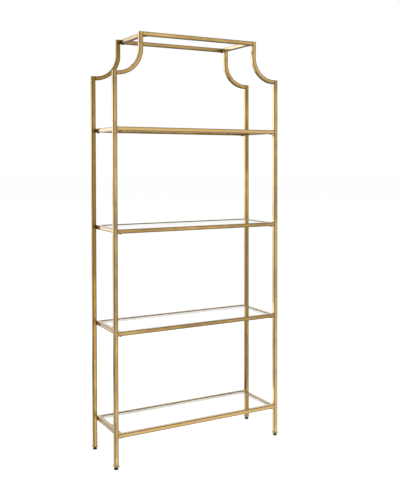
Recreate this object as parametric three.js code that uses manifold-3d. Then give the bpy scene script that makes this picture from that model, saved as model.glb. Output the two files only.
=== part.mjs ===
// Etagere: four square-tube legs with scooped shoulders, four glazed shelf frames, an open top frame.
// Millimetres, +Z up, X to the right, Y to the back. Origin on the floor at the centre of the plan.
import * as THREE from 'three';
import { mergeVertices } from 'three/addons/utils/BufferGeometryUtils.js';
import Module from 'manifold-3d';

const wasm = await Module();
wasm.setup();

// Plan over the posts; the foot plates stand out a little past it
const widthOverPosts = 806;
const depthOverPosts = 292;

// Square steel tube, the one section used for every member
const tubeSide = 18;
const tubeWall = 1.2;
const tubeCornerRadius = 2;
const capThickness = 1.5;

// Levels, from the floor up; the posts run on past the top shelf by the headroom
const bottomShelfHeight = 149;
const shelfPitch = 433;
const shelfCount = 4;
const postHeadroom = 234.5;

// Shoulder bend: a quarter circle that rises from the post's inner face, then a straight stub
const shoulderRadius = 108;
const stubLength = 72.5;

// Glass and what it lies on
const glassThickness = 5;
const glassRecess = 2.5;
const glassEdgeClearance = 2;
const glassCornerRadius = 4;
const glassArris = 0.7;
const tabWidth = 16;
const tabReach = 13;
const tabThickness = 2;
const tabCornerRadius = 3;
const tabEndInset = 67;
const bumperDiameter = 8;
const bumperThickness = 1.6;
const glassSeatGap = 0.3;

// Lugs welded to the legs, and the bolts that pin the frames to them from below
const lugSide = 14.4;
const lugReach = 25;
const boltDiameter = 6;
const boltReach = 15;
const boltInset = 14;
const boltHoleClearance = 0.3;
const boltHeadDiameter = 10.5;
const boltHeadHeight = 3.3;
const boltSocketAcross = 4;
const boltSocketDepth = 2;
const boltSocketSides = 6;
const headRimShare = 0.35;
const headShoulderRadiusShare = 0.85;
const headShoulderShare = 0.8;
const headCrownRadiusShare = 0.6;

// Vent hole at mid span of the top front rail
const ventHoleDiameter = 4.5;

// Foot: welded plate, threaded plug inside the post, screw-in levelling glide
const footPlateSide = 24.5;
const footPlateThickness = 2.5;
const footPlateCornerRadius = 1;
const footPlateHeight = 12.4;
const plugClearance = 0.3;
const plugHeight = 20;
const stemDiameter = 8;
const stemHoleClearance = 0.3;
const stemLength = 26;
const glideDiameter = 18;
const glidePadHeight = 8;
const glideToeRadius = 1;
const glideShoulder = 2.5;
const glideCollarDiameter = 13;
const glideSeatGap = 0.3;

// Facet counts, and how far a cutting tool runs past what it cuts
const cornerSteps = 1;
const shoulderSteps = 16;
const boltSides = 8;
const holeSides = 12;
const bumperSides = 8;
const glideSides = 16;
const cutOverrun = 1;

// Worked out from the sizes above
const halfTube = tubeSide / 2;
const tubeBore = tubeSide - 2 * tubeWall;
const postAxisX = widthOverPosts / 2 - halfTube;
const postAxisY = depthOverPosts / 2 - halfTube;
const postBottom = footPlateHeight + footPlateThickness;
const shelfHalfLength = postAxisX - halfTube;
const topHalfLength = shelfHalfLength - shoulderRadius - halfTube;
const sideRailLength = depthOverPosts - 2 * tubeSide;
const postHeight = bottomShelfHeight + (shelfCount - 1) * shelfPitch + postHeadroom;
const shoulderStart = postHeight - halfTube;
const overallHeight = shoulderStart + shoulderRadius + stubLength;
const topFrameAxis = overallHeight - halfTube;
const glassBottom = halfTube - glassRecess - glassThickness;
const tabTop = glassBottom - glassSeatGap - bumperThickness;
const weldRoot = tubeWall / 2;

function material(colour, roughness, metalness) {
  return new THREE.MeshStandardMaterial({ color: colour, roughness, metalness });
}

const goldPaint = () => material(0xb08d55, 0.38, 0.9);
const blackSteel = () => material(0x1a1918, 0.45, 0.7);
const blackNylon = () => material(0x121212, 0.55, 0);

function clearGlass() {
  const glass = material(0xe4efea, 0.03, 0);
  glass.transparent = true;
  glass.opacity = 0.3;
  return glass;
}

// A closed geometry as a solid, with its shared corners merged and slivers of no area left out
function toSolid(geometry) {
  const loose = geometry.index ? geometry.toNonIndexed() : geometry.clone();
  loose.deleteAttribute('normal');
  loose.deleteAttribute('uv');
  const merged = mergeVertices(loose);
  const corners = merged.index.array;
  const kept = [];
  for (let i = 0; i < corners.length; i += 3) {
    const [a, b, c] = corners.slice(i, i + 3);
    if (a !== b && b !== c && c !== a) {
      kept.push(a, b, c);
    }
  }
  return new wasm.Manifold(new wasm.Mesh({
    numProp: 3,
    vertProperties: new Float32Array(merged.attributes.position.array),
    triVerts: new Uint32Array(kept),
  }));
}

function toGeometry(solid) {
  const mesh = solid.getMesh();
  const geometry = new THREE.BufferGeometry();
  geometry.setAttribute('position', new THREE.BufferAttribute(new Float32Array(mesh.vertProperties), 3));
  geometry.setIndex(new THREE.BufferAttribute(new Uint32Array(mesh.triVerts), 1));
  geometry.computeVertexNormals();
  return geometry;
}

function cut(geometry, tools) {
  let solid = toSolid(geometry);
  for (const tool of tools) {
    solid = solid.subtract(toSolid(tool));
  }
  return toGeometry(solid);
}

function join(geometry, additions) {
  let solid = toSolid(geometry);
  for (const addition of additions) {
    solid = solid.add(toSolid(addition));
  }
  return toGeometry(solid);
}

function at(geometry, x, y, z) {
  return geometry.clone().translate(x, y, z);
}

function roundedRectangle(width, height, radius) {
  const shape = new THREE.Shape();
  const x = width / 2 - radius;
  const y = height / 2 - radius;
  shape.absarc(x, y, radius, 0, Math.PI / 2);
  shape.absarc(-x, y, radius, Math.PI / 2, Math.PI);
  shape.absarc(-x, -y, radius, Math.PI, Math.PI * 3 / 2);
  shape.absarc(x, -y, radius, Math.PI * 3 / 2, Math.PI * 2);
  return shape;
}

function squareHole(side) {
  const path = new THREE.Path();
  path.moveTo(-side / 2, -side / 2);
  path.lineTo(-side / 2, side / 2);
  path.lineTo(side / 2, side / 2);
  path.lineTo(side / 2, -side / 2);
  path.closePath();
  return path;
}

function tubeSection() {
  const section = roundedRectangle(tubeSide, tubeSide, tubeCornerRadius);
  section.holes.push(squareHole(tubeBore));
  return section;
}

function prism(shape, depth) {
  return new THREE.ExtrudeGeometry(shape, { depth, bevelEnabled: false, curveSegments: cornerSteps });
}

function endCap() {
  return prism(roundedRectangle(tubeSide, tubeSide, tubeCornerRadius), capThickness);
}

// A round bar along Z, centred on the origin
function rod(diameter, length, sides) {
  return new THREE.CylinderGeometry(diameter / 2, diameter / 2, length, sides).rotateX(Math.PI / 2);
}

function turned(profile, sides) {
  const points = profile.map(([radius, height]) => new THREE.Vector2(radius, height));
  return new THREE.LatheGeometry(points, sides).rotateX(Math.PI / 2);
}

// Centreline of a shoulder: level at the post's inner face, then a quarter circle up, then the straight stub
class ShoulderPath extends THREE.Curve {
  constructor() {
    super();
    this.arcShare = shoulderSteps / (shoulderSteps + 1);
    this.stubStart = shoulderStart + shoulderRadius;
  }

  getPointAt(u) {
    if (u > this.arcShare) {
      const along = (u - this.arcShare) / (1 - this.arcShare);
      const height = THREE.MathUtils.lerp(this.stubStart, overallHeight, along);
      return new THREE.Vector3(shoulderRadius, 0, height);
    }
    const turn = u / this.arcShare * Math.PI / 2;
    const x = shoulderRadius * Math.sin(turn);
    return new THREE.Vector3(x, 0, this.stubStart - shoulderRadius * Math.cos(turn));
  }

  getPoint(t) {
    return this.getPointAt(t);
  }

  getTangentAt(u) {
    const turn = Math.min(u / this.arcShare, 1) * Math.PI / 2;
    return new THREE.Vector3(Math.cos(turn), 0, Math.sin(turn));
  }
}

// A lug is a square bar welded into the wall at X = 0, drilled up and down for the frame bolt
function lug() {
  const bar = new THREE.BoxGeometry(lugReach + weldRoot, lugSide, lugSide);
  const drill = rod(boltDiameter + 2 * boltHoleClearance, lugSide + 2 * cutOverrun, holeSides);
  return cut(at(bar, (lugReach - weldRoot) / 2, 0, 0), [at(drill, boltInset, 0, 0)]);
}

// The tube keeps its section square to the centreline all the way round the bend. Its head is capped,
// and the lug for the top frame stands on the stub's inner face
function shoulder() {
  const path = { steps: shoulderSteps + 1, extrudePath: new ShoulderPath(), curveSegments: cornerSteps };
  const bend = new THREE.ExtrudeGeometry(tubeSection(), path);
  const cap = at(endCap(), shoulderRadius, 0, overallHeight - capThickness);
  return join(bend, [cap, at(lug(), shoulderRadius + halfTube, 0, topFrameAxis)]);
}

function shelfAxis(i) {
  return bottomShelfHeight + i * shelfPitch - halfTube;
}

// A post is open at the foot, where the plug goes in, and capped at the head, with a lug for each shelf
function post() {
  const length = postHeight - postBottom;
  const additions = [at(endCap(), 0, 0, length - capThickness)];
  for (let i = 0; i < shelfCount; i += 1) {
    additions.push(at(lug(), halfTube, 0, shelfAxis(i) - postBottom));
  }
  return join(prism(tubeSection(), length), additions);
}

// Front or rear rail, along X, drilled in its lower wall for the bolts at both ends
function longRail(halfLength, tabs, extraCuts) {
  const rail = prism(tubeSection(), 2 * halfLength).translate(0, 0, -halfLength).rotateY(Math.PI / 2);
  const drill = rod(boltDiameter + 2 * boltHoleClearance, 2 * (tubeWall + cutOverrun), holeSides);
  const ends = [-1, 1].map((side) => at(drill, side * (halfLength - boltInset), 0, -halfTube));
  return join(cut(rail, [...ends, ...extraCuts]), tabs);
}

function ventDrill() {
  const radius = ventHoleDiameter / 2;
  const drill = new THREE.CylinderGeometry(radius, radius, 2 * (tubeWall + cutOverrun), holeSides);
  return at(drill, 0, -halfTube, 0);
}

// Side rail, along Y, between the front and rear rails
function sideRail(tabs) {
  const rail = prism(tubeSection(), sideRailLength).translate(0, 0, -sideRailLength / 2);
  return join(rail.rotateX(Math.PI / 2), tabs);
}

// Button-head socket bolt, head down, its seat at z = 0
function frameBolt() {
  const headRadius = boltHeadDiameter / 2;
  const body = turned([
    [0, -boltHeadHeight],
    [headRadius * headCrownRadiusShare, -boltHeadHeight],
    [headRadius * headShoulderRadiusShare, -boltHeadHeight * headShoulderShare],
    [headRadius, -boltHeadHeight * headRimShare],
    [headRadius, 0],
    [boltDiameter / 2, 0],
    [boltDiameter / 2, boltReach],
    [0, boltReach],
  ], boltSides);
  const acrossCorners = boltSocketAcross / Math.cos(Math.PI / boltSocketSides);
  const socket = rod(acrossCorners, 2 * boltSocketDepth, boltSocketSides);
  return cut(body, [at(socket, 0, 0, -boltHeadHeight)]);
}

// A tab is welded into a rail's inner wall at Y = 0 and stands out along +Y, its far corners rounded.
// The round bumper stuck on it carries the glass
function tab() {
  const plate = new THREE.Shape();
  const side = tabWidth / 2;
  plate.moveTo(-side, -weldRoot);
  plate.lineTo(side, -weldRoot);
  plate.absarc(side - tabCornerRadius, tabReach - tabCornerRadius, tabCornerRadius, 0, Math.PI / 2);
  plate.absarc(tabCornerRadius - side, tabReach - tabCornerRadius, tabCornerRadius, Math.PI / 2, Math.PI);
  const bumperLength = bumperThickness + tabThickness / 2;
  const bumperAxis = tabTop + bumperThickness - bumperLength / 2;
  const bumper = at(rod(bumperDiameter, bumperLength, bumperSides), 0, tabReach / 2, bumperAxis);
  return join(at(prism(plate, tabThickness), 0, 0, tabTop - tabThickness), [bumper]);
}

// Three tabs along a front or rear rail, on the face that is turned to the glass
function longRailTabs() {
  const spread = shelfHalfLength - tubeSide - tabEndInset;
  return [-spread, 0, spread].map((x) => at(tab(), x, halfTube, 0));
}

// One tab at the middle of a side rail
function sideRailTabs() {
  return [at(tab().rotateZ(-Math.PI / 2), halfTube, 0, 0)];
}

// A pane with rounded corners and its sharp edges taken off
function glassPane() {
  const width = 2 * (shelfHalfLength - tubeSide - glassEdgeClearance);
  const depth = depthOverPosts - 2 * (tubeSide + glassEdgeClearance);
  const outline = roundedRectangle(width, depth, glassCornerRadius);
  return new THREE.ExtrudeGeometry(outline, {
    depth: glassThickness - 2 * glassArris,
    bevelThickness: glassArris,
    bevelSize: glassArris,
    bevelOffset: -glassArris,
    bevelSegments: 1,
    curveSegments: cornerSteps,
  }).translate(0, 0, glassArris);
}

function squareBlock(side, height) {
  return prism(roundedRectangle(side, side, footPlateCornerRadius), height);
}

// A foot plate closes the open end of the post. Its plug goes up inside, and both are drilled for the stem
function footPlate() {
  const height = footPlateThickness + plugHeight;
  const plate = squareBlock(footPlateSide, footPlateThickness);
  const plug = squareBlock(tubeBore - 2 * plugClearance, height);
  const drill = rod(stemDiameter + 2 * stemHoleClearance, 2 * (height + cutOverrun), holeSides);
  return cut(join(plate, [plug]), [drill]);
}

// Moulded pad, collar and threaded stem in one piece, standing on z = 0
function glide() {
  const radius = glideDiameter / 2;
  const seat = footPlateHeight - glideSeatGap;
  return turned([
    [0, 0],
    [radius - glideToeRadius, 0],
    [radius, glideToeRadius],
    [radius, glidePadHeight - glideShoulder],
    [radius - glideShoulder, glidePadHeight],
    [glideCollarDiameter / 2, glidePadHeight],
    [glideCollarDiameter / 2, seat],
    [stemDiameter / 2, seat],
    [stemDiameter / 2, seat + stemLength],
    [0, seat + stemLength],
  ], glideSides);
}

function piece(name, geometry, finish) {
  const mesh = new THREE.Mesh(geometry, finish);
  mesh.name = name;
  return mesh;
}

function raised(object, height) {
  object.position.z = height;
  return object;
}

// A leg stands on its own axis and reaches inwards along its own +X
function leg(name) {
  const group = new THREE.Group();
  const bend = piece(`${name}_shoulder`, shoulder(), goldPaint());
  bend.position.x = halfTube;
  group.add(
    raised(piece(`${name}_post`, post(), goldPaint()), postBottom),
    bend,
    raised(piece(`${name}_foot_plate`, footPlate(), goldPaint()), footPlateHeight),
    piece(`${name}_glide`, glide(), blackNylon()),
  );
  return group;
}

// The four corners of the plan, with the sign of X and of Y at each
const corners = [
  { name: 'front_left', right: -1, back: -1 },
  { name: 'front_right', right: 1, back: -1 },
  { name: 'rear_left', right: -1, back: 1 },
  { name: 'rear_right', right: 1, back: 1 },
];

// Four rails make a rectangle between the left and right legs; a bolt near each corner pins it to a lug.
// The rear and right rails are the front and left ones turned half round
function frame(name, halfLength, rails) {
  const group = new THREE.Group();
  const front = piece(`${name}_front_rail`, rails.front, goldPaint());
  const rear = piece(`${name}_rear_rail`, rails.rear, goldPaint());
  const left = piece(`${name}_left_rail`, rails.side, goldPaint());
  const right = piece(`${name}_right_rail`, rails.side.clone(), goldPaint());
  front.position.y = -postAxisY;
  rear.position.y = postAxisY;
  rear.rotation.z = Math.PI;
  left.position.x = halfTube - halfLength;
  right.position.x = halfLength - halfTube;
  right.rotation.z = Math.PI;
  group.add(front, rear, left, right);
  for (const corner of corners) {
    const bolt = piece(`${name}_${corner.name}_bolt`, frameBolt(), blackSteel());
    bolt.position.set(corner.right * (halfLength - boltInset), corner.back * postAxisY, -halfTube);
    group.add(bolt);
  }
  return group;
}

function shelfFrame(name) {
  const group = frame(name, shelfHalfLength, {
    front: longRail(shelfHalfLength, longRailTabs(), []),
    rear: longRail(shelfHalfLength, longRailTabs(), []),
    side: sideRail(sideRailTabs()),
  });
  group.add(raised(piece(`${name}_glass`, glassPane(), clearGlass()), glassBottom));
  return group;
}

// The top frame carries no glass, so it has no tabs
function topFrame() {
  return frame('top', topHalfLength, {
    front: longRail(topHalfLength, [], [ventDrill()]),
    rear: longRail(topHalfLength, [], []),
    side: sideRail([]),
  });
}

const etagere = new THREE.Group();

for (const corner of corners) {
  const standing = leg(corner.name);
  standing.position.set(corner.right * postAxisX, corner.back * postAxisY, 0);
  standing.rotation.z = corner.right < 0 ? 0 : Math.PI;
  etagere.add(standing);
}

for (let i = 0; i < shelfCount; i += 1) {
  etagere.add(raised(shelfFrame(`shelf_${i + 1}`), shelfAxis(i)));
}

etagere.add(raised(topFrame(), topFrameAxis));

export default etagere;
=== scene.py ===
import math
from collections import namedtuple

import bmesh
import bpy
from mathutils import Matrix, Vector


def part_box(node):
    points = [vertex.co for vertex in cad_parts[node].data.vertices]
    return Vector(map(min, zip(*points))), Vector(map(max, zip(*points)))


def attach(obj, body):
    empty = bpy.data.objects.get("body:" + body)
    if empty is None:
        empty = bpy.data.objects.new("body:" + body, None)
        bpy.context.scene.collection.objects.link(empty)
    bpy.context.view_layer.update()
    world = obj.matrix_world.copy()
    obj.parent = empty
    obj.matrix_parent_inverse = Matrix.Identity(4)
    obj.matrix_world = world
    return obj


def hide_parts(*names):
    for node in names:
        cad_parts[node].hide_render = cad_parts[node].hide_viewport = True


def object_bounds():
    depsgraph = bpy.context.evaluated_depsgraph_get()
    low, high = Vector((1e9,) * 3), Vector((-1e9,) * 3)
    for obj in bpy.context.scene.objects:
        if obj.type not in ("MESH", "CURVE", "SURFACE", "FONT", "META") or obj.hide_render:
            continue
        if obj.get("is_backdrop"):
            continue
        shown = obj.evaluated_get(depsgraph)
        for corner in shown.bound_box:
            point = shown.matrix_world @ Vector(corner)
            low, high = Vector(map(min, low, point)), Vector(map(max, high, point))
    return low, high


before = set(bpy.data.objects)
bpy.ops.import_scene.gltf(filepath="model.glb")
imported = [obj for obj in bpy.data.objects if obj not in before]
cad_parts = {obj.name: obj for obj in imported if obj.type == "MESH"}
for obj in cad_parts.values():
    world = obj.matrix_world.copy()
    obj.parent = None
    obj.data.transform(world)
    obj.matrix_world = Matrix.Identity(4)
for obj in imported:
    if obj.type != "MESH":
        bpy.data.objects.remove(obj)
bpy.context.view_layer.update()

# Camera. It stands over a metre to the left of the object and three metres in front of it, at breast
# height, and looks almost level. The shift brings the tall object into the frame.
EYE = Vector((-1.5275, -3.2546, 1.3002))
YAW_RIGHT = math.radians(31.68)
PITCH_DOWN = math.radians(1.355)
LENS = 55.84
SENSOR = 36.0
SHIFT_X = -0.1507
SHIFT_Y = -0.140

camera_data = bpy.data.cameras.new("camera")
camera_data.lens = LENS
camera_data.sensor_width = SENSOR
camera_data.shift_x = SHIFT_X
camera_data.shift_y = SHIFT_Y
camera = bpy.data.objects.new("camera", camera_data)
camera.location = EYE
camera.rotation_euler = (math.pi / 2 - PITCH_DOWN, 0, -YAW_RIGHT)
bpy.context.scene.collection.objects.link(camera)
bpy.context.scene.camera = camera

# Gold finish. Mild steel tube sprayed metallic gold by hand, wiped with a brown glaze that stays in the
# corners and brush strokes, and lacquered. The dark brown in the corners is partly that glaze and partly
# painted shade, laid where an occlusion test finds a surface close by. One attribute of a piece's mesh
# says how light the gold lies there, partly uneven spray and partly painted reflection and shade;
# another says
# how much dark brown lies there: painted shade on the rolled corners, bare steel and painted shade in
# the bores, glaze on the foot plates. Seen along its surface the gold is paler, a painted sheen.
GOLD_LIGHT = (0.69, 0.445, 0.140, 1)
GOLD_MID = (0.52, 0.315, 0.070, 1)
GOLD_DEEP = (0.335, 0.188, 0.030, 1)
GOLD_TONES = ((0.38, GOLD_DEEP), (0.50, GOLD_MID), (0.62, GOLD_LIGHT))
# Pale colour of a painted sheen, laid where the gold is seen at a slant.
GOLD_PAINTED_SHEEN = (0.62, 0.51, 0.31, 1)
GOLD_EDGE_TINT = (0.85, 0.75, 0.60, 1)
# Dark brown of the glaze, also laid as painted shade in corners, along rolled corners and in bores.
GLAZE_AND_SHADE_BROWN = (0.060, 0.030, 0.006, 1)
DRIFT = {"Scale": 4.5, "Detail": 1}
MOTTLE = {"Scale": 18, "Detail": 5}
STROKES = {"Scale": 260, "Detail": 4}
MOTTLE_SHARE = 0.45
STROKE_SHARE = 0.30
LIGHTNESS_REACH = 0.12
PAINTED_SHEEN_RANGE = {"From Min": 0.25, "From Max": 0.55, "To Max": 0.6}
# Where an occlusion test finds a surface within reach, the dark brown is laid on: partly glaze, partly
# painted shade.
CORNER_SHADE_REACH = 0.006
CORNER_SHADE_RAYS = 8
CORNER_GLAZE_AND_SHADE = {"From Min": 0.50, "From Max": 0.80, "To Min": 0.95, "To Max": 0.0}
GOLD_SATIN = {"To Min": 0.20, "To Max": 0.32}
STROKE_RELIEF = {"Strength": 0.10, "Distance": 0.0002}
LACQUER_IOR = 1.6
LACQUER_ROUGHNESS = 0.07
REAR_LEG_DIMMED_SHEEN = 0.3
STROKE_STRETCH = 0.04
DAB_STRETCH = 0.3


def fill(tree, shader_node, inputs):
    """Sets a node's inputs by name or number, and links those that are given another node's output."""
    for key, value in inputs.items():
        if isinstance(value, bpy.types.NodeSocket):
            tree.links.new(value, shader_node.inputs[key])
        else:
            shader_node.inputs[key].default_value = value


def added(tree, kind, inputs, **settings):
    """A new node of that kind, with its settings made and its inputs filled. Gives its outputs."""
    made = tree.nodes.new(f"ShaderNode{kind}")
    for setting, value in settings.items():
        setattr(made, setting, value)
    fill(tree, made, inputs)
    return made.outputs


def toned(tree, value, stops):
    """The colour that a value has between stops, each a place from 0 to 1 and its colour."""
    ramp = tree.nodes.new("ShaderNodeValToRGB")
    first, last = ramp.color_ramp.elements
    first.position, first.color = stops[0]
    last.position, last.color = stops[-1]
    for position, colour in stops[1:-1]:
        ramp.color_ramp.elements.new(position).color = colour
    fill(tree, ramp, {"Fac": value})
    return ramp.outputs["Color"]


def new_finish(name):
    """A material and its node tree."""
    material = bpy.data.materials.new(name)
    material.use_nodes = True
    return material, material.node_tree


def gold_finish(name, stretch, lacquer=1.0):
    """Gold with its brush strokes drawn out along the axis whose stretch is small."""
    material, tree = new_finish(name)
    place = added(tree, "TexCoord", {})["Object"]
    brushed = added(tree, "Mapping", {"Vector": place, "Scale": stretch})["Vector"]
    drift = added(tree, "TexNoise", {"Vector": place, **DRIFT})["Fac"]
    mottle = added(tree, "TexNoise", {"Vector": place, **MOTTLE})["Fac"]
    strokes = added(tree, "TexNoise", {"Vector": brushed, **STROKES})["Fac"]

    clouded = {"Factor": MOTTLE_SHARE, "A": drift, "B": mottle}
    clouds = added(tree, "Mix", clouded, data_type="FLOAT")["Result"]
    wiped = {"Factor": STROKE_SHARE, "A": clouds, "B": strokes}
    uneven = added(tree, "Mix", wiped, data_type="FLOAT")["Result"]
    spray_and_painted_light = added(tree, "Attribute", {}, attribute_name="spray_and_painted_light")["Fac"]
    laid = {0: spray_and_painted_light, 1: LIGHTNESS_REACH, 2: uneven}
    lightness = added(tree, "Math", laid, operation="MULTIPLY_ADD")["Value"]
    tone = toned(tree, lightness, GOLD_TONES)
    # Painted sheen: the gold is mixed towards a pale colour where the surface is seen at a slant.
    slant = added(tree, "LayerWeight", {})["Facing"]
    painted_sheen = added(tree, "MapRange", {"Value": slant, **PAINTED_SHEEN_RANGE})["Result"]
    sheen_mix = {"Factor": painted_sheen, "A": tone, "B": GOLD_PAINTED_SHEEN}
    gold = added(tree, "Mix", sheen_mix, data_type="RGBA")["Result"]

    # The darker of two marks wins: the occlusion test's painted shade and glaze, and the dark brown
    # marked on the mesh.
    corner = added(tree, "AmbientOcclusion", {"Distance": CORNER_SHADE_REACH}, samples=CORNER_SHADE_RAYS)["AO"]
    shade_in_corners = added(tree, "MapRange", {"Value": corner, **CORNER_GLAZE_AND_SHADE})["Result"]
    marked_glaze_and_shade = added(tree, "Attribute", {}, attribute_name="glaze_and_painted_shade")["Fac"]
    darkest_glaze_and_shade = added(tree, "Math", {0: shade_in_corners, 1: marked_glaze_and_shade}, operation="MAXIMUM")["Value"]
    darkened = {"Factor": darkest_glaze_and_shade, "A": gold, "B": GLAZE_AND_SHADE_BROWN}

    fill(tree, tree.nodes["Principled BSDF"], {
        "Base Color": added(tree, "Mix", darkened, data_type="RGBA")["Result"],
        "Roughness": added(tree, "MapRange", {"Value": strokes, **GOLD_SATIN})["Result"],
        "Normal": added(tree, "Bump", {"Height": strokes, **STROKE_RELIEF})["Normal"],
        "Metallic": 1.0,
        "Specular Tint": GOLD_EDGE_TINT,
        "Coat Weight": lacquer,
        "Coat IOR": LACQUER_IOR,
        "Coat Roughness": LACQUER_ROUGHNESS,
    })
    return material


# Painted shade: the rear legs' gold is a copy of the front legs' with less lacquer, so that they shine
# less.
gold_upright = {
    "front": gold_finish("antique_gold_front_legs", (1, 1, STROKE_STRETCH)),
    "rear": gold_finish("antique_gold_rear_legs", (1, 1, STROKE_STRETCH), lacquer=REAR_LEG_DIMMED_SHEEN),
}
gold_across = gold_finish("antique_gold_across", (STROKE_STRETCH, 1, 1))
gold_front_to_back = gold_finish("antique_gold_front_to_back", (1, STROKE_STRETCH, 1))
gold_small = gold_finish("antique_gold_small_parts", (DAB_STRETCH, DAB_STRETCH, DAB_STRETCH))

# Posts. Cold-rolled square tube with a small rolled corner, open at the foot for the levelling foot
# and closed at the head by a plate that is welded on and ground flush.
CORNER_STEPS = 6
CORNER_RADIUS = 0.002
WALL = 0.0012
CAP = 0.0015
SMOOTH_UP_TO = math.radians(40)
SAME_POINT = 1e-6
# Painted shade: dark brown along every tube's rolled corners, fading out over a narrow band beside them.
ROLLED_CORNER_SHADE = 0.8
# Inside the bores the dark brown is partly bare unpainted steel, partly painted shade.
BORE_STEEL_AND_SHADE = 0.97
EDGE_SHADE_BAND = 0.0035
SIDES = {"left": -1, "right": 1}
ROWS = {"front": -1, "rear": 1}
# How light the gold lies at heights up each post, below 0 deeper and above 0 lighter: partly uneven
# spray, partly painted reflection and shade.
POST_SPRAY_AND_PAINTED_LIGHT = {
    "front_left": ((0, 1.0), (0.30, 0), (0.50, -0.2), (0.66, -1.0), (0.80, -0.9), (1.00, -0.2),
                   (1.35, 0.1), (1.55, -0.5)),
    "front_right": ((0, 1.2), (0.30, 0.6), (0.95, 0.5), (1.10, -0.3), (1.50, -0.3), (1.62, 0.2)),
    "rear_left": ((0, 1.2), (0.20, 0.6), (0.70, 0.5), (0.77, 0), (0.87, -1.1), (1.60, -1.2)),
    "rear_right": ((0, -0.2), (0.40, -0.9), (0.95, -0.9), (1.15, -0.3), (1.30, -0.1), (1.60, -0.6)),
}

post_low, post_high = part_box("front_left_post")
shoulder_low, shoulder_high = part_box("front_left_shoulder")
HALF_TUBE = (shoulder_high.y - shoulder_low.y) / 2


def rectangle(bm, width, depth):
    """A rectangle in the XY plane, with its middle at the origin."""
    bmesh.ops.create_grid(bm, x_segments=1, y_segments=1, size=0.5)
    bmesh.ops.scale(bm, verts=bm.verts[:], vec=(width, depth, 1))


def rounded(bm, corners, radius):
    """Rounds corners of a flat outline."""
    bmesh.ops.bevel(bm, geom=corners, offset=radius, offset_type="OFFSET", segments=CORNER_STEPS,
                    profile=0.5, affect="VERTICES", material=-1)


def square_face(bm, half, radius):
    """A square face with rounded corners, in the XY plane."""
    rectangle(bm, 2 * half, 2 * half)
    rounded(bm, bm.verts[:], radius)
    return bm.faces[:]


def tube_face(bm):
    """The tube's outline, with painted shade dark on the rolled corners and fading out beside them."""
    outline = square_face(bm, HALF_TUBE, CORNER_RADIUS)
    glaze_and_painted_shade = bm.verts.layers.float.new("glaze_and_painted_shade")
    for corner in bm.verts:
        corner[glaze_and_painted_shade] = ROLLED_CORNER_SHADE
    for side in [edge for edge in bm.edges if edge.calc_length() > HALF_TUBE]:
        near, far = side.verts
        first = bmesh.utils.edge_split(side, near, EDGE_SHADE_BAND / side.calc_length())[1]
        rest = next(edge for edge in first.link_edges if far in edge.verts)
        last = bmesh.utils.edge_split(rest, far, EDGE_SHADE_BAND / rest.calc_length())[1]
        first[glaze_and_painted_shade] = last[glaze_and_painted_shade] = 0
    return outline


def bored(bm, faces):
    """Sets the bore into an end face and gives the ring of faces that is the tube's wall."""
    wall = bmesh.ops.inset_region(bm, faces=faces, thickness=WALL, use_boundary=True,
                                  use_even_offset=True)["faces"]
    # The bore's inner face is darkened, partly bare steel and partly painted shade.
    glaze_and_painted_shade = bm.verts.layers.float["glaze_and_painted_shade"]
    for corner in faces[0].verts:
        corner[glaze_and_painted_shade] = BORE_STEEL_AND_SHADE
    return wall


def region(faces):
    """The faces with their edges and corners, as an extrusion or a spin takes them."""
    edges = list(dict.fromkeys(edge for face in faces for edge in face.edges))
    corners = list(dict.fromkeys(corner for face in faces for corner in face.verts))
    return faces + edges + corners


def drawn(bm, faces, step):
    """Draws faces out by a step and gives the faces at the far end."""
    made = bmesh.ops.extrude_face_region(bm, geom=region(faces))["geom"]
    bmesh.ops.translate(bm, verts=[v for v in made if isinstance(v, bmesh.types.BMVert)], vec=step)
    return [f for f in made if isinstance(f, bmesh.types.BMFace)]


def placed(bm, place, turn=0, axis="Z"):
    """Turns the whole bmesh about an axis through the origin, and sets it in its place."""
    turning = Matrix.Rotation(turn, 3, axis)
    bmesh.ops.rotate(bm, verts=bm.verts[:], cent=(0, 0, 0), matrix=turning)
    bmesh.ops.translate(bm, verts=bm.verts[:], vec=place)


def closed_head(bm):
    """The tube's plated head, top face at the origin, and the ring under it where the tube goes on."""
    return bored(bm, drawn(bm, tube_face(bm), (0, 0, -CAP)))


def lightness_at(height, stops):
    """How light the gold lies at a height, between the stops on either side of it."""
    for (low, first), (high, last) in zip(stops, stops[1:]):
        if height <= high:
            return first + (last - first) * (height - low) / (high - low)
    return stops[-1][1]


def finished(bm, name, material, body="root", spray_and_painted_light=((0, 0),)):
    """Makes a bmesh a smooth-shaded object with its place in its mesh, riding on a body."""
    bmesh.ops.remove_doubles(bm, verts=bm.verts[:], dist=SAME_POINT)
    bmesh.ops.recalc_face_normals(bm, faces=bm.faces[:])
    lightness = bm.verts.layers.float.new("spray_and_painted_light")
    for corner in bm.verts:
        corner[lightness] = lightness_at(corner.co.z, spray_and_painted_light)
    mesh = bpy.data.meshes.new(name)
    bm.to_mesh(mesh)
    bm.free()
    mesh.shade_smooth()
    mesh.set_sharp_from_angle(angle=SMOOTH_UP_TO)
    mesh.materials.append(material)
    piece = bpy.data.objects.new(name, mesh)
    bpy.context.scene.collection.objects.link(piece)
    weighted = piece.modifiers.new("flat_faces", "WEIGHTED_NORMAL")
    weighted.keep_sharp = True
    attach(piece, body)
    return piece


def stand(node):
    """The tube's axis in plan at a leg, read from the glide that is centred under it."""
    low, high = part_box(node)
    return (low.x + high.x) / 2, (low.y + high.y) / 2


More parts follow.
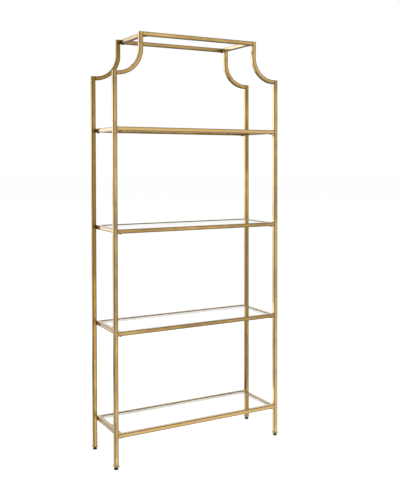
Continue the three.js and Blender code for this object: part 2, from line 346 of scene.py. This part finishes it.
for row in ROWS:
    for side in SIDES:
        corner = f"{row}_{side}"
        x, y = stand(f"{corner}_glide")
        bm = bmesh.new()
        wall = closed_head(bm)
        placed(bm, (x, y, post_high.z))
        reached = post_high.z - CAP
        stops = POST_SPRAY_AND_PAINTED_LIGHT[corner]
        for height in [height for height, _ in reversed(stops)][:-1] + [post_low.z]:
            wall = drawn(bm, wall, (0, 0, height - reached))
            reached = height
        tube = finished(bm, f"post_tube_{corner}", gold_upright[row], spray_and_painted_light=stops)
        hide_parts(f"{corner}_post")

# Shoulders. The same tube bent cold round a quarter circle, its end welded to the post's inner face
# and ground flush, then straight up to the top frame, where its head is plated.
BEND_STEPS = 28
# How light the gold lies on each bend: partly uneven spray, partly painted reflection and shade.
BEND_SPRAY_AND_PAINTED_LIGHT = {"front_left": 0, "front_right": 0.5, "rear_left": -1.05, "rear_right": 0.3}

top_low, top_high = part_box("top_front_rail")
for row in ROWS:
    for side, sign in SIDES.items():
        corner = f"{row}_{side}"
        x, y = stand(f"{corner}_glide")
        low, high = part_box(f"{corner}_shoulder")
        bend_x = x - sign * HALF_TUBE
        stub_x = top_low.x - HALF_TUBE if sign < 0 else top_high.x + HALF_TUBE
        radius = abs(stub_x - bend_x)
        bend_z = post_high.z - HALF_TUBE + radius
        bm = bmesh.new()
        wall = closed_head(bm)
        placed(bm, (stub_x, y, high.z))
        wall = drawn(bm, wall, (0, 0, bend_z + CAP - high.z))
        bmesh.ops.spin(bm, geom=region(wall), cent=(bend_x, y, bend_z), axis=(0, 1, 0),
                       dvec=(0, 0, 0), angle=-sign * math.pi / 2, steps=BEND_STEPS,
                       use_duplicate=False)
        bend = finished(bm, f"shoulder_bend_{corner}", gold_upright[row],
                        spray_and_painted_light=((0, BEND_SPRAY_AND_PAINTED_LIGHT[corner]),))
        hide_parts(f"{corner}_shoulder")

# Rails. Plain lengths of the tube, sawn square. Front and rear rails are drilled underneath for the
# frame bolts, and the top front rail has a small vent hole at mid span.
BOLT_HOLE = 0.0066
BOLT_INSET = 0.014
VENT_HOLE = 0.0045
HOLE_SIDES = 24
FRAMES = [f"shelf_{i}" for i in range(1, 5)] + ["top"]
# How light the gold lies on each frame's front rail: painted reflection and shade of the floor and
# lamps. The rear rails are laid a little darker.
FRONT_RAIL_PAINTED_LIGHT = {"shelf_1": 1.4, "shelf_2": -0.5, "shelf_3": -0.4, "shelf_4": 1.2, "top": 0.4}
REAR_RAIL_DARKENING = -0.3

Hole = namedtuple("Hole", ["centre", "diameter", "depth", "axis", "sides"], defaults=["Z", HOLE_SIDES])


def cut_away(bm, tools):
    """The first bmesh without the space that the second one fills."""
    blanks = []
    for shape in (bm, tools):
        mesh = bpy.data.meshes.new("blank")
        shape.to_mesh(mesh)
        shape.free()
        blank = bpy.data.objects.new("blank", mesh)
        bpy.context.scene.collection.objects.link(blank)
        blanks.append(blank)
    cut = blanks[0].modifiers.new("cut", "BOOLEAN")
    cut.operation = "DIFFERENCE"
    cut.solver = "MANIFOLD"
    cut.object = blanks[1]
    bpy.context.view_layer.update()
    evaluated = blanks[0].evaluated_get(bpy.context.evaluated_depsgraph_get())
    result = bmesh.new()
    result.from_mesh(evaluated.to_mesh())
    evaluated.to_mesh_clear()
    for blank in blanks:
        mesh = blank.data
        bpy.data.objects.remove(blank)
        bpy.data.meshes.remove(mesh)
    return result


def drilled(bm, holes):
    """The bmesh with straight holes cut in it."""
    drills = bmesh.new()
    for hole in holes:
        radius = hole.diameter / 2
        drill = bmesh.ops.create_cone(drills, cap_ends=True, segments=hole.sides, radius1=radius,
                                      radius2=radius, depth=hole.depth)["verts"]
        if hole.axis == "Y":
            bmesh.ops.rotate(drills, verts=drill, cent=(0, 0, 0),
                             matrix=Matrix.Rotation(math.pi / 2, 3, "X"))
        bmesh.ops.translate(drills, verts=drill, vec=hole.centre)
    bmesh.ops.recalc_face_normals(bm, faces=bm.faces[:])
    return cut_away(bm, drills)


def open_tube(start, along, length):
    """A sawn length of tube from a point, along X or Y."""
    bm = bmesh.new()
    end = tube_face(bm)
    wall = bored(bm, end)
    bmesh.ops.delete(bm, geom=end, context="FACES_ONLY")
    drawn(bm, wall, (0, 0, length))
    turn, axis = (math.pi / 2, "Y") if along == "X" else (-math.pi / 2, "X")
    placed(bm, start, turn, axis)
    return bm


for level in FRAMES:
    for row, back in ROWS.items():
        node = f"{level}_{row}_rail"
        low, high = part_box(node)
        axis_y = low.y + HALF_TUBE if back < 0 else high.y - HALF_TUBE
        axis_z = high.z - HALF_TUBE
        floor_z = high.z - 2 * HALF_TUBE
        holes = [Hole((end, axis_y, floor_z), BOLT_HOLE, 4 * WALL)
                 for end in (low.x + BOLT_INSET, high.x - BOLT_INSET)]
        if node == "top_front_rail":
            vent = ((low.x + high.x) / 2, axis_y - HALF_TUBE, axis_z)
            holes.append(Hole(vent, VENT_HOLE, 4 * WALL, axis="Y"))
        tube = drilled(open_tube((low.x, axis_y, axis_z), "X", high.x - low.x), holes)
        spray_and_painted_light = ((0, FRONT_RAIL_PAINTED_LIGHT[level] if back < 0 else REAR_RAIL_DARKENING),)
        rail = finished(tube, f"rail_{row}_{level}", gold_across, spray_and_painted_light=spray_and_painted_light)
        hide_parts(node)
    for side, sign in SIDES.items():
        node = f"{level}_{side}_rail"
        low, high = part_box(node)
        axis_x = low.x + HALF_TUBE if sign < 0 else high.x - HALF_TUBE
        tube = open_tube((axis_x, low.y, high.z - HALF_TUBE), "Y", high.y - low.y)
        rail = finished(tube, f"rail_{side}_{level}", gold_front_to_back)
        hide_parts(node)

# Lugs. Square steel bar welded to the posts and stubs, with its long edges eased so that a rail's open
# end slides over it, and drilled up and down for the bolt that pins the rail.
LUG_SIDE = 0.0144
LUG_REACH = 0.025
LUG_EASE = 0.0008


def eased(bm, edges, radius, steps=2):
    """Rounds edges over."""
    bmesh.ops.bevel(bm, geom=edges, offset=radius, offset_type="OFFSET", segments=steps,
                    profile=0.5, affect="EDGES", material=-1)


for level in FRAMES:
    for row in ROWS:
        for side, sign in SIDES.items():
            low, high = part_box(f"{level}_{row}_rail")
            root_x = low.x if sign < 0 else high.x
            x, y = stand(f"{row}_{side}_glide")
            axis_z = high.z - HALF_TUBE
            bm = bmesh.new()
            bmesh.ops.create_cube(bm, size=1)
            bmesh.ops.scale(bm, verts=bm.verts[:], vec=(LUG_REACH, LUG_SIDE, LUG_SIDE))
            eased(bm, bm.edges[:], LUG_EASE)
            placed(bm, (root_x - sign * LUG_REACH / 2, y, axis_z))
            bm = drilled(bm, [Hole((root_x - sign * BOLT_INSET, y, axis_z), BOLT_HOLE, 2 * LUG_SIDE)])
            lug = finished(bm, f"lug_{row}_{side}_{level}", gold_small)

# Glass tabs. Two millimetre plate with two corners rounded, welded to the rails' inner faces below the
# glass, three to a long rail and one to a side rail.
TAB_WIDTH = 0.016
TAB_REACH = 0.013
TAB_THICKNESS = 0.002
TAB_CORNER = 0.003
TAB_EASE = 0.0003
TAB_END_INSET = 0.067
TAB_TOP_DROP = 0.0094

tab_places = []
for level in FRAMES[:-1]:
    pane_low, pane_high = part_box(f"{level}_glass")
    for row, back in ROWS.items():
        low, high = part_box(f"{level}_{row}_rail")
        face_y = low.y + 2 * HALF_TUBE if back < 0 else high.y - 2 * HALF_TUBE
        spread = (high.x - low.x) / 2 - 2 * HALF_TUBE - TAB_END_INSET
        turn = 0 if back < 0 else math.pi
        top = high.z - TAB_TOP_DROP
        for place, x in (("left", -spread), ("middle", 0), ("right", spread)):
            tab_places.append((f"{row}_{place}_{level}", (x, face_y, top), turn, pane_low.z - top))
    for side, sign in SIDES.items():
        low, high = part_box(f"{level}_{side}_rail")
        face_x = low.x + 2 * HALF_TUBE if sign < 0 else high.x - 2 * HALF_TUBE
        turn = sign * math.pi / 2
        top = high.z - TAB_TOP_DROP
        tab_places.append((f"{side}_{level}", (face_x, 0, top), turn, pane_low.z - top))

for name, place, turn, _ in tab_places:
    bm = bmesh.new()
    rectangle(bm, TAB_WIDTH, TAB_REACH)
    placed(bm, (0, TAB_REACH / 2, 0))
    rounded(bm, [v for v in bm.verts if v.co.y > TAB_REACH / 2], TAB_CORNER)
    drawn(bm, bm.faces[:], (0, 0, -TAB_THICKNESS))
    eased(bm, bm.edges[:], TAB_EASE)
    placed(bm, place, turn)
    tab = finished(bm, f"tab_{name}", gold_small)

# Bumpers. Self-adhesive domes of clear polyurethane, one on each tab, that keep the glass off the
# steel and hold it still.
BUMPER_DIAMETER = 0.008
BUMPER_SIDES = 20
DOME_SHARE = 0.6
DOME_STEPS = 4
BUMPER_HAZE = {"Scale": 900}
BUMPER_SATIN = {"To Min": 0.12, "To Max": 0.30}


def roughened(tree, grain, satin):
    """Makes the surface's roughness follow a noise on the piece, and gives that noise."""
    place = added(tree, "TexCoord", {})["Object"]
    noise = added(tree, "TexNoise", {"Vector": place, **grain})["Fac"]
    roughness = added(tree, "MapRange", {"Value": noise, **satin})["Result"]
    fill(tree, tree.nodes["Principled BSDF"], {"Roughness": roughness})
    return noise


bumper_finish, tree = new_finish("clear_polyurethane")
roughened(tree, BUMPER_HAZE, BUMPER_SATIN)
fill(tree, tree.nodes["Principled BSDF"], {
    "Base Color": (0.86, 0.86, 0.84, 1),
    "Transmission Weight": 0.85,
    "IOR": 1.48,
})

for name, place, turn, gap in tab_places:
    bm = bmesh.new()
    bmesh.ops.create_circle(bm, cap_ends=True, segments=BUMPER_SIDES, radius=BUMPER_DIAMETER / 2)
    top = drawn(bm, bm.faces[:], (0, 0, gap))
    eased(bm, top[0].edges[:], DOME_SHARE * gap, steps=DOME_STEPS)
    placed(bm, (0, TAB_REACH / 2, 0))
    placed(bm, place, turn)
    finished(bm, f"bumper_{name}", bumper_finish)

# Panes. Clear float glass, 5 mm, with its corners rounded and its edges ground to a small arris. They
# lie loose on the bumpers, a little below the top of the rails.
PANE_CORNER = 0.004
ARRIS = 0.0007
GLASS_SMEAR = {"Scale": 6, "Detail": 6}
GLASS_POLISH = {"To Min": 0.0, "To Max": 0.03}

glass, tree = new_finish("clear_float_glass")
roughened(tree, GLASS_SMEAR, GLASS_POLISH)
fill(tree, tree.nodes["Principled BSDF"], {
    "Base Color": (0.975, 0.990, 0.985, 1),
    "Transmission Weight": 1.0,
    "IOR": 1.52,
    "Coat Weight": 1.0,
    "Coat IOR": 1.8,
    "Coat Roughness": 0.02,
})

for level in FRAMES[:-1]:
    low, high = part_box(f"{level}_glass")
    bm = bmesh.new()
    rectangle(bm, high.x - low.x, high.y - low.y)
    rounded(bm, bm.verts[:], PANE_CORNER)
    under = bm.faces[:]
    over = drawn(bm, under, (0, 0, high.z - low.z))
    eased(bm, under[0].edges[:] + over[0].edges[:], ARRIS)
    placed(bm, ((low.x + high.x) / 2, (low.y + high.y) / 2, low.z))
    pane = finished(bm, f"pane_{level}", glass, body=f"{level}_pane")
    pane.visible_shadow = False
    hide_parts(f"{level}_glass")

# Frame bolts. M6 button-head socket screws of black oxide steel, put in from below through the rail
# and the lug.
BOLT_SHANK = 0.006
BOLT_CHAMFER = 0.0005
BOLT_STEPS = 32
HEAD_DIAMETER = 0.0105
HEAD_HEIGHT = 0.0033
# The head's outline from its crown to its seat: how far out, and how far from the seat, as shares of
# its radius and its height
HEAD_OUTLINE = (
    (0, 1),
    (0.56, 1),
    (0.72, 0.93),
    (0.86, 0.75),
    (0.95, 0.50),
    (1, 0.22),
    (1, 0.05),
    (0.98, 0),
)
SOCKET_ACROSS_FLATS = 0.004
SOCKET_DEPTH = 0.002
OXIDE_GRAIN = {"Scale": 700}
OXIDE_SATIN = {"To Min": 0.35, "To Max": 0.60}
OXIDE_TONES = ((0, (0.012, 0.011, 0.011, 1)), (1, (0.045, 0.042, 0.040, 1)))

black_steel, tree = new_finish("black_oxide_steel")
grain = roughened(tree, OXIDE_GRAIN, OXIDE_SATIN)
fill(tree, tree.nodes["Principled BSDF"], {
    "Base Color": toned(tree, grain, OXIDE_TONES),
    "Metallic": 0.9,
})


def turned(bm, profile, steps):
    """Turns a line of (radius, height) points, from axis to axis, about Z."""
    points = [bm.verts.new((radius, 0, height)) for radius, height in profile]
    line = [bm.edges.new(pair) for pair in zip(points, points[1:])]
    bmesh.ops.spin(bm, geom=points + line, cent=(0, 0, 0), axis=(0, 0, 1), dvec=(0, 0, 0),
                   angle=2 * math.pi, steps=steps, use_merge=True, use_duplicate=False)
    bmesh.ops.remove_doubles(bm, verts=bm.verts[:], dist=SAME_POINT)


head = [(out * HEAD_DIAMETER / 2, -down * HEAD_HEIGHT) for out, down in HEAD_OUTLINE]
across_corners = SOCKET_ACROSS_FLATS / math.cos(math.pi / 6)
socket = Hole((0, 0, -HEAD_HEIGHT), across_corners, 2 * SOCKET_DEPTH, sides=6)
for level in FRAMES:
    for row in ROWS:
        for side in SIDES:
            node = f"{level}_{row}_{side}_bolt"
            low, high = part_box(node)
            tip = high.z - low.z - HEAD_HEIGHT
            shank = [
                (BOLT_SHANK / 2, 0),
                (BOLT_SHANK / 2, tip - BOLT_CHAMFER),
                (BOLT_SHANK / 2 - BOLT_CHAMFER, tip),
                (0, tip),
            ]
            bm = bmesh.new()
            turned(bm, head + shank, BOLT_STEPS)
            bm = drilled(bm, [socket])
            placed(bm, ((low.x + high.x) / 2, (low.y + high.y) / 2, low.z + HEAD_HEIGHT))
            bolt = finished(bm, f"button_bolt_{row}_{side}_{level}", black_steel)
            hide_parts(node)

# Feet. A square steel plate with eased edges welded under each post, a square threaded plug inside it,
# and a small fillet of weld round the top of the plate. The glide's stem passes all three.
PLATE_THICKNESS = 0.0025
PLATE_CORNER = 0.001
PLATE_EASE = 0.0004
PLATE_GLAZE = 0.5
PLUG_SIDE = 0.0150
STEM_HOLE = 0.0086
WELD_FILLET = 0.0016


def stem_drilled(bm, x, y, bottom, top):
    """The bmesh with the stem's hole right through it, from below its bottom to above its top."""
    return drilled(bm, [Hole((x, y, (bottom + top) / 2), STEM_HOLE, 4 * (top - bottom))])


for row in ROWS:
    for side in SIDES:
        corner = f"{row}_{side}"
        x, y = stand(f"{corner}_glide")
        low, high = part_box(f"{corner}_foot_plate")
        plate_top = low.z + PLATE_THICKNESS

        bm = bmesh.new()
        plate = square_face(bm, (high.x - low.x) / 2, PLATE_CORNER)
        drawn(bm, plate, (0, 0, PLATE_THICKNESS))
        level_edges = [e for e in bm.edges if abs(e.verts[0].co.z - e.verts[1].co.z) < SAME_POINT]
        eased(bm, level_edges, PLATE_EASE)
        placed(bm, (x, y, low.z))
        bm = stem_drilled(bm, x, y, low.z, plate_top)
        glaze_and_painted_shade = bm.faces.layers.float.new("glaze_and_painted_shade")
        for face in bm.faces:
            face[glaze_and_painted_shade] = PLATE_GLAZE
        plate = finished(bm, f"foot_plate_{corner}", gold_small)
        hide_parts(f"{corner}_foot_plate")

        bm = bmesh.new()
        plug = square_face(bm, PLUG_SIDE / 2, PLATE_CORNER)
        drawn(bm, plug, (0, 0, high.z - plate_top))
        placed(bm, (x, y, plate_top))
        bm = stem_drilled(bm, x, y, plate_top, high.z)
        plug = finished(bm, f"foot_plug_{corner}", gold_small)

        bm = bmesh.new()
        bead = square_face(bm, HALF_TUBE, CORNER_RADIUS)
        drawn(bm, bead, (0, 0, WELD_FILLET))
        swell = 1 + WELD_FILLET / HALF_TUBE
        bmesh.ops.scale(bm, verts=bead[0].verts[:], vec=(swell, swell, 1))
        placed(bm, (x, y, plate_top))
        bm = stem_drilled(bm, x, y, plate_top, plate_top + WELD_FILLET)
        bead = finished(bm, f"foot_weld_{corner}", gold_small)

# Glides. A moulded black nylon pad with a hexagonal collar over a threaded stem, screwed up into the
# plug to level the object.
PAD_HEIGHT = 0.008
PAD_HOLLOW = 0.0004
PAD_STEPS = 40
# The pad's outline from its hollow up to its shoulder: how far in from the rim, and how high
PAD_OUTLINE = (
    (0.0035, PAD_HOLLOW),
    (0.0030, 0),
    (0.0010, 0),
    (0.0003, 0.0003),
    (0, 0.0010),
    (0, 0.0048),
    (0.0004, 0.0058),
    (0.0012, 0.0066),
    (0.0026, PAD_HEIGHT - 0.0003),
    (0.0034, PAD_HEIGHT),
)
GLIDE_GAP = 0.0003
COLLAR_ACROSS = 0.013
COLLAR_EASE = 0.0004
STEM_DIAMETER = 0.008
THREAD_PITCH = 0.00125
THREAD_DEPTH = 0.0007
NYLON_GRAIN = {"Scale": 2200}
NYLON_SATIN = {"To Min": 0.42, "To Max": 0.62}
NYLON_RELIEF = {"Strength": 0.25, "Distance": 0.0001}

black_nylon, tree = new_finish("moulded_black_nylon")
texture = roughened(tree, NYLON_GRAIN, NYLON_SATIN)
fill(tree, tree.nodes["Principled BSDF"], {
    "Base Color": (0.013, 0.013, 0.014, 1),
    "Normal": added(tree, "Bump", {"Height": texture, **NYLON_RELIEF})["Normal"],
})

for row in ROWS:
    for side in SIDES:
        corner = f"{row}_{side}"
        low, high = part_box(f"{corner}_glide")
        plate_low, plate_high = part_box(f"{corner}_foot_plate")
        x, y = stand(f"{corner}_glide")
        rim = (high.x - low.x) / 2
        seat = plate_low.z - GLIDE_GAP

        outline = [(rim - inset, height) for inset, height in PAD_OUTLINE]
        bm = bmesh.new()
        turned(bm, [(0, PAD_HOLLOW)] + outline + [(0, PAD_HEIGHT)], PAD_STEPS)
        placed(bm, (x, y, 0))
        pad = finished(bm, f"glide_pad_{corner}", black_nylon, body=f"{corner}_foot")
        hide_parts(f"{corner}_glide")

        bm = bmesh.new()
        bmesh.ops.create_cone(bm, cap_ends=True, segments=6, radius1=COLLAR_ACROSS / 2,
                              radius2=COLLAR_ACROSS / 2, depth=seat - PAD_HEIGHT)
        eased(bm, bm.edges[:], COLLAR_EASE)
        placed(bm, (x, y, (seat + PAD_HEIGHT) / 2))
        collar = finished(bm, f"glide_collar_{corner}", black_nylon, body=f"{corner}_foot")

        crest = STEM_DIAMETER / 2
        root = crest - THREAD_DEPTH
        thread = [(0, seat)]
        for i in range(int((high.z - seat) / THREAD_PITCH)):
            foot = seat + i * THREAD_PITCH
            thread += [(root, foot), (crest, foot + THREAD_PITCH / 2)]
        thread += [(root, high.z), (0, high.z)]
        bm = bmesh.new()
        turned(bm, thread, BOLT_STEPS)
        placed(bm, (x, y, 0))
        stem = finished(bm, f"glide_stem_{corner}", black_steel, body=f"{corner}_foot")

# Floor and backdrop. A pale matt floor that runs out to white and keeps the object's shadow, and a white
# sky. Both look brighter than the light that they give.
FLOOR_REACH = 60
FLOOR_GREY = (0.80, 0.80, 0.80, 1)
FLOOR_GLOW = 0.55
SKY_LIGHT = 0.55
SKY_SEEN = 1.0
WHITE = (1, 1, 1, 1)


def looked_at(tree):
    """1 for a ray that the camera, a reflection or the glass sends, and 0 for one that only lights."""
    ray = added(tree, "LightPath", {})
    direct = {0: ray["Is Camera Ray"], 1: ray["Is Glossy Ray"]}
    seen = {0: added(tree, "Math", direct, operation="MAXIMUM")["Value"], 1: ray["Is Transmission Ray"]}
    return added(tree, "Math", seen, operation="MAXIMUM")["Value"]


def scenery(name, bm, material):
    """Makes a bmesh a plain object round the etagere."""
    mesh = bpy.data.meshes.new(name)
    bm.to_mesh(mesh)
    bm.free()
    mesh.materials.append(material)
    made = bpy.data.objects.new(name, mesh)
    bpy.context.scene.collection.objects.link(made)
    return made


def bare_finish(name, surface):
    """A material whose whole surface is what the function makes in its node tree."""
    material, tree = new_finish(name)
    tree.nodes.remove(tree.nodes["Principled BSDF"])
    fill(tree, tree.nodes["Material Output"], {"Surface": surface(tree)})
    return material


def glowing_floor(tree):
    """Matt grey that also glows, but only where it is looked at."""
    matt = added(tree, "BsdfDiffuse", {"Color": FLOOR_GREY})["BSDF"]
    strength = added(tree, "Math", {0: looked_at(tree), 1: FLOOR_GLOW}, operation="MULTIPLY")["Value"]
    glow = added(tree, "Emission", {"Color": WHITE, "Strength": strength})["Emission"]
    return added(tree, "AddShader", {0: matt, 1: glow})["Shader"]


bm = bmesh.new()
rectangle(bm, 2 * FLOOR_REACH, 2 * FLOOR_REACH)
floor = scenery("floor", bm, bare_finish("pale_floor", glowing_floor))
floor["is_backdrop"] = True

world = bpy.data.worlds.new("studio")
bpy.context.scene.world = world
world.use_nodes = True
tree = world.node_tree
brightness = {"Value": looked_at(tree), "To Min": SKY_LIGHT, "To Max": SKY_SEEN}
fill(tree, tree.nodes["Background"], {
    "Color": WHITE,
    "Strength": added(tree, "MapRange", brightness)["Result"],
})

# Studio light. A large soft lamp overhead and a tall one far off to the left behind the object. Cards
# that only reflections see are the rest: a low pale screen beside the tall lamp, the lit and the dim
# parts of the floor, two darker patches on it, and two dark boards in front and to the right.
FAR = 20
CARD_LAYER = 0.002


def bearing(degrees_left_of_back, distance, height):
    """A point at that bearing from the object."""
    turn = math.radians(degrees_left_of_back)
    return Vector((-distance * math.sin(turn), distance * math.cos(turn), height))


def softbox(name, place, aim, width, height, radiance):
    """A rectangular lamp that faces a point."""
    data = bpy.data.lights.new(name, "AREA")
    data.shape = "RECTANGLE"
    data.size = width
    data.size_y = height
    data.energy = radiance * math.pi * width * height
    lamp = bpy.data.objects.new(name, data)
    lamp.location = place
    lamp.rotation_mode = "QUATERNION"
    lamp.rotation_quaternion = (Vector(aim) - Vector(place)).to_track_quat("-Z", "Y")
    bpy.context.scene.collection.objects.link(lamp)


def card(name, place, aim, width, height, radiance):
    """A plain card that faces a point and shows in reflections alone."""
    def shine(tree):
        return added(tree, "Emission", {"Strength": radiance})["Emission"]

    bm = bmesh.new()
    rectangle(bm, width, height)
    turning = (Vector(aim) - Vector(place)).to_track_quat("Z", "Y").to_matrix()
    bmesh.ops.rotate(bm, verts=bm.verts[:], cent=(0, 0, 0), matrix=turning)
    bmesh.ops.translate(bm, verts=bm.verts[:], vec=place)
    sheet = scenery(name, bm, bare_finish(name, shine))
    sheet.visible_camera = False
    sheet.visible_diffuse = False
    sheet.visible_transmission = False
    sheet.visible_shadow = False
    sheet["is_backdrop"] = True


def floor_card(name, x, y, layer, width, depth, radiance):
    """A card that lies face up on the floor, over those of a lower layer."""
    card(name, (x, y, layer * CARD_LAYER), (x, y, 1), width, depth, radiance)


softbox("overhead", (-0.6, -0.6, 4.2), (0, 0, 0.6), 3.0, 3.0, 2.2)
softbox("left_rear", bearing(38.5, FAR, 4), (0, 0, 1), 10, 9, 1.6)
card("low_left", bearing(18.5, FAR, 2.2), (0, 0, 1), 3.85, 2.7, 1.7)
card("dark_front", bearing(132, 5, 1.6), (0, 0, 1), 6.5, 5, 0.3)
card("dark_right", bearing(-100, 6, 1.6), (0, 0, 1), 9, 5, 0.2)
floor_card("farther_sweep", -6, 14, 2, 12, 8, 1.7)
floor_card("far_sweep", -2.5, 6.2, 2, 5, 7.6, 1.1)
floor_card("near_sweep", -1.1, 1.1, 2, 2, 2.6, 0.8)
floor_card("front_sweep", 1.2, -4.2, 2, 5.5, 7.9, 1.0)
floor_card("dark_sweep", 0.75, 1.4, 3, 1.6, 2.0, 0.12)
floor_card("far_dark_sweep", 4, 8.2, 3, 10.0, 11.6, 0.12)
floor_card("darker_patch", -0.97, 1.4, 4, 1.0, 1.0, 0.5)
floor_card("darkest_patch", -0.75, 1.4, 5, 0.45, 0.5, 0.25)

bpy.context.scene.view_settings.view_transform = "Standard"

low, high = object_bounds()
